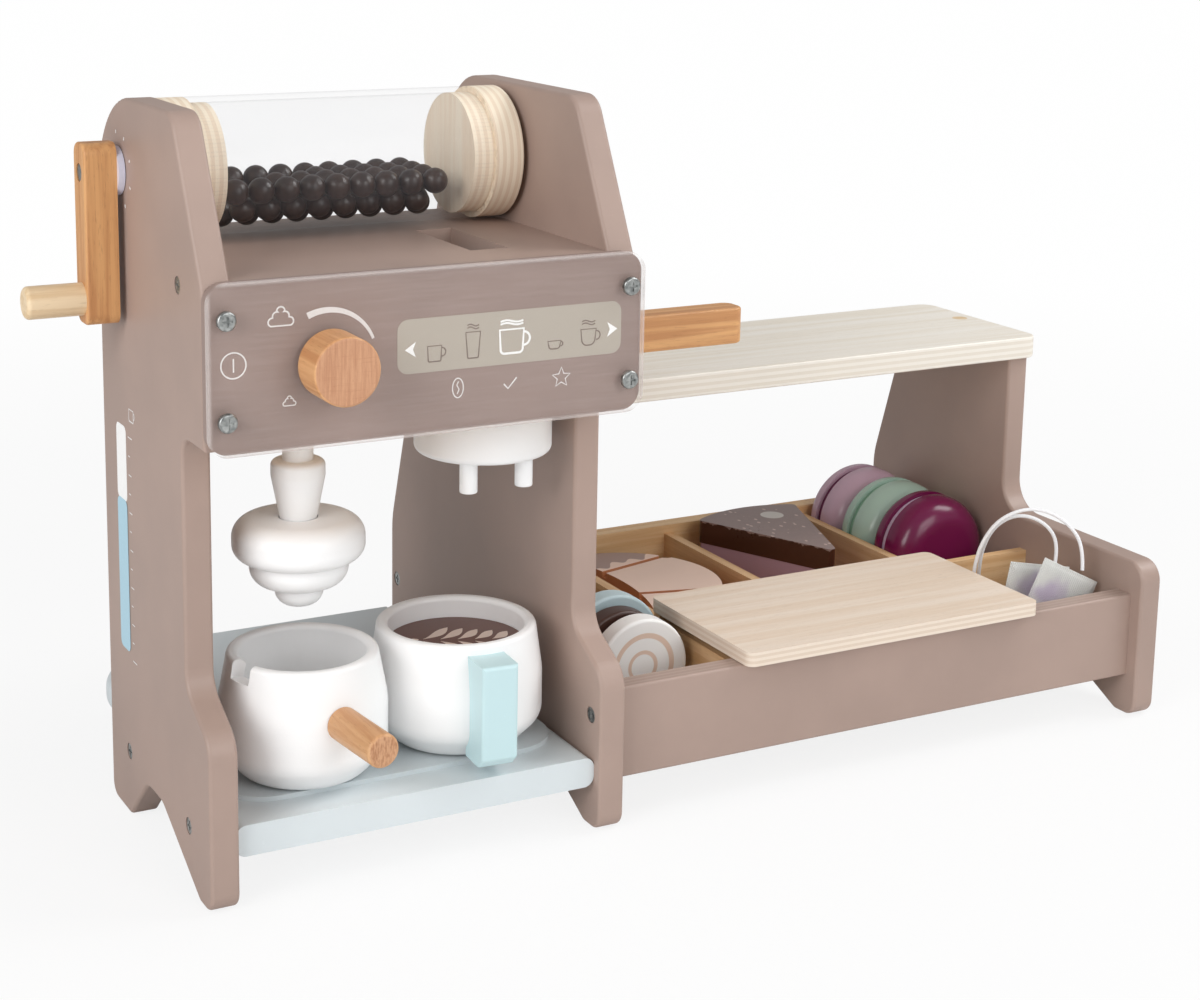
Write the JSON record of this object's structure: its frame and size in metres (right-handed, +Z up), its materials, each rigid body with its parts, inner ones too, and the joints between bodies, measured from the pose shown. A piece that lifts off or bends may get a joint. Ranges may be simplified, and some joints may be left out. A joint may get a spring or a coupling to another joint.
{
  "type": "toy coffee maker",
  "caption": "Wooden play espresso machine with a bean drum and crank, jug, cup, shelf and a divided box of play food.",
  "frame": {"origin": "centre of the bounding box's bottom, on the floor", "axes": "+X along the front from the crank to the shelf's free end, +Y to the back, +Z up"},
  "size_m": [0.5246, 0.2418, 0.31],
  "materials": {
    "painted_board": "matt taupe paint",
    "painted_fascia": "matt taupe paint with printed symbols",
    "clear_plate": "clear acrylic sheet",
    "bright_screw": "bright plated steel",
    "white_paint": "satin white paint",
    "base_paint": "satin pale grey-blue paint",
    "beech": "clear lacquered beech",
    "dowel": "clear lacquered pale wood",
    "plywood": "birch plywood with visible plies",
    "clear_tube": "clear plastic tube",
    "coffee_brown": "dark brown paint",
    "washer_white": "white plastic",
    "pale_blue_paint": "satin pale blue paint",
    "pastry": "printed and painted wood",
    "mauve_paint": "satin mauve paint",
    "mint_paint": "satin mint paint",
    "plum_paint": "gloss plum paint",
    "cream_paint": "satin cream paint",
    "tea_fabric": "woven cotton gauze",
    "string": "white cotton cord"
  },
  "bodies": {
    "machine": {"panel_left": "painted_board", "panel_middle": "painted_board", "panel_end": "painted_board", "screws_left_panel": "bright_screw", "screws_middle_panel": "bright_screw", "base_board": "base_paint", "base_pad": "base_paint", "fascia_board": "painted_fascia", "fascia_plate": "clear_plate", "fascia_screws": "bright_screw", "top_board": "painted_board", "head_floor": "plywood", "coffee_beans": "coffee_brown", "steam_nozzle": "white_paint", "box_front": "painted_board", "box_back": "plywood", "box_floor": "plywood", "divider_one": "plywood", "divider_two": "plywood", "divider_three": "plywood", "cross_rail": "plywood", "shelf": "plywood", "shelf_plug": "dowel", "croissant": "pastry", "cake_cream": "mauve_paint", "cake_chocolate": "coffee_brown", "macaron_plum_shells": "plum_paint", "macaron_plum_cream": "cream_paint", "macaron_mint_shells": "mint_paint", "macaron_mint_cream": "cream_paint", "macaron_mauve_shells": "mauve_paint", "macaron_mauve_cream": "cream_paint", "biscuit_light": "cream_paint", "biscuit_dark": "coffee_brown", "biscuit_blue": "pale_blue_paint", "tea_bag_front": "tea_fabric", "tea_bag_back": "tea_fabric", "tea_string_front": "string", "tea_string_back": "string"},
    "bean_drum": {"drum_tube": "clear_tube", "drum_end_left": "plywood", "drum_end_right": "plywood", "drum_axle": "dowel", "crank_washer": "washer_white", "crank_arm": "beech", "crank_grip": "dowel", "crank_screw": "bright_screw"},
    "temperature_knob": {"knob": "beech", "knob_spindle": "dowel"},
    "brewing_group": {"brewing_head": "white_paint", "brewing_spouts": "white_paint", "brewing_spindle": "dowel", "brewing_lever": "beech"},
    "foam_piece": {"milk_foam": "white_paint"},
    "jug": {"milk_jug": "white_paint", "jug_handle": "dowel"},
    "coffee_cup": {"cup": "white_paint", "cup_handle": "pale_blue_paint", "coffee": "coffee_brown"},
    "serving_board": {"loose_board": "plywood"}
  },
  "joints": [
    {"name": "drum_crank", "type": "hinge", "parent": "machine", "child": "bean_drum", "pos_m": [-0.22175, 0.00265, 0.2797], "axis": [1, 0, 0], "continuous": true},
    {"name": "knob_turn", "type": "hinge", "parent": "machine", "child": "temperature_knob", "pos_m": [-0.17375, -0.09605, 0.2175], "axis": [0, -1, 0], "continuous": true},
    {"name": "lever_swing", "type": "hinge", "parent": "machine", "child": "brewing_group", "pos_m": [-0.08425, -0.05205, 0.18], "axis": [0, 0, 1], "range_deg": [-15, 15]},
    {"name": "foam_pull", "type": "slide", "parent": "machine", "child": "foam_piece", "axis": [0, 0, -1], "range_m": [0, 0.015]},
    {"name": "jug_slide", "type": "slide", "parent": "machine", "child": "jug", "axis": [0, -1, 0], "range_m": [0, 0.07]},
    {"name": "cup_lift", "type": "slide", "parent": "machine", "child": "coffee_cup", "axis": [0, 0, 1], "range_m": [0, 0.055]},
    {"name": "board_lift", "type": "slide", "parent": "machine", "child": "serving_board", "axis": [0, 0, 1], "range_m": [0, 0.06]}
  ]
}
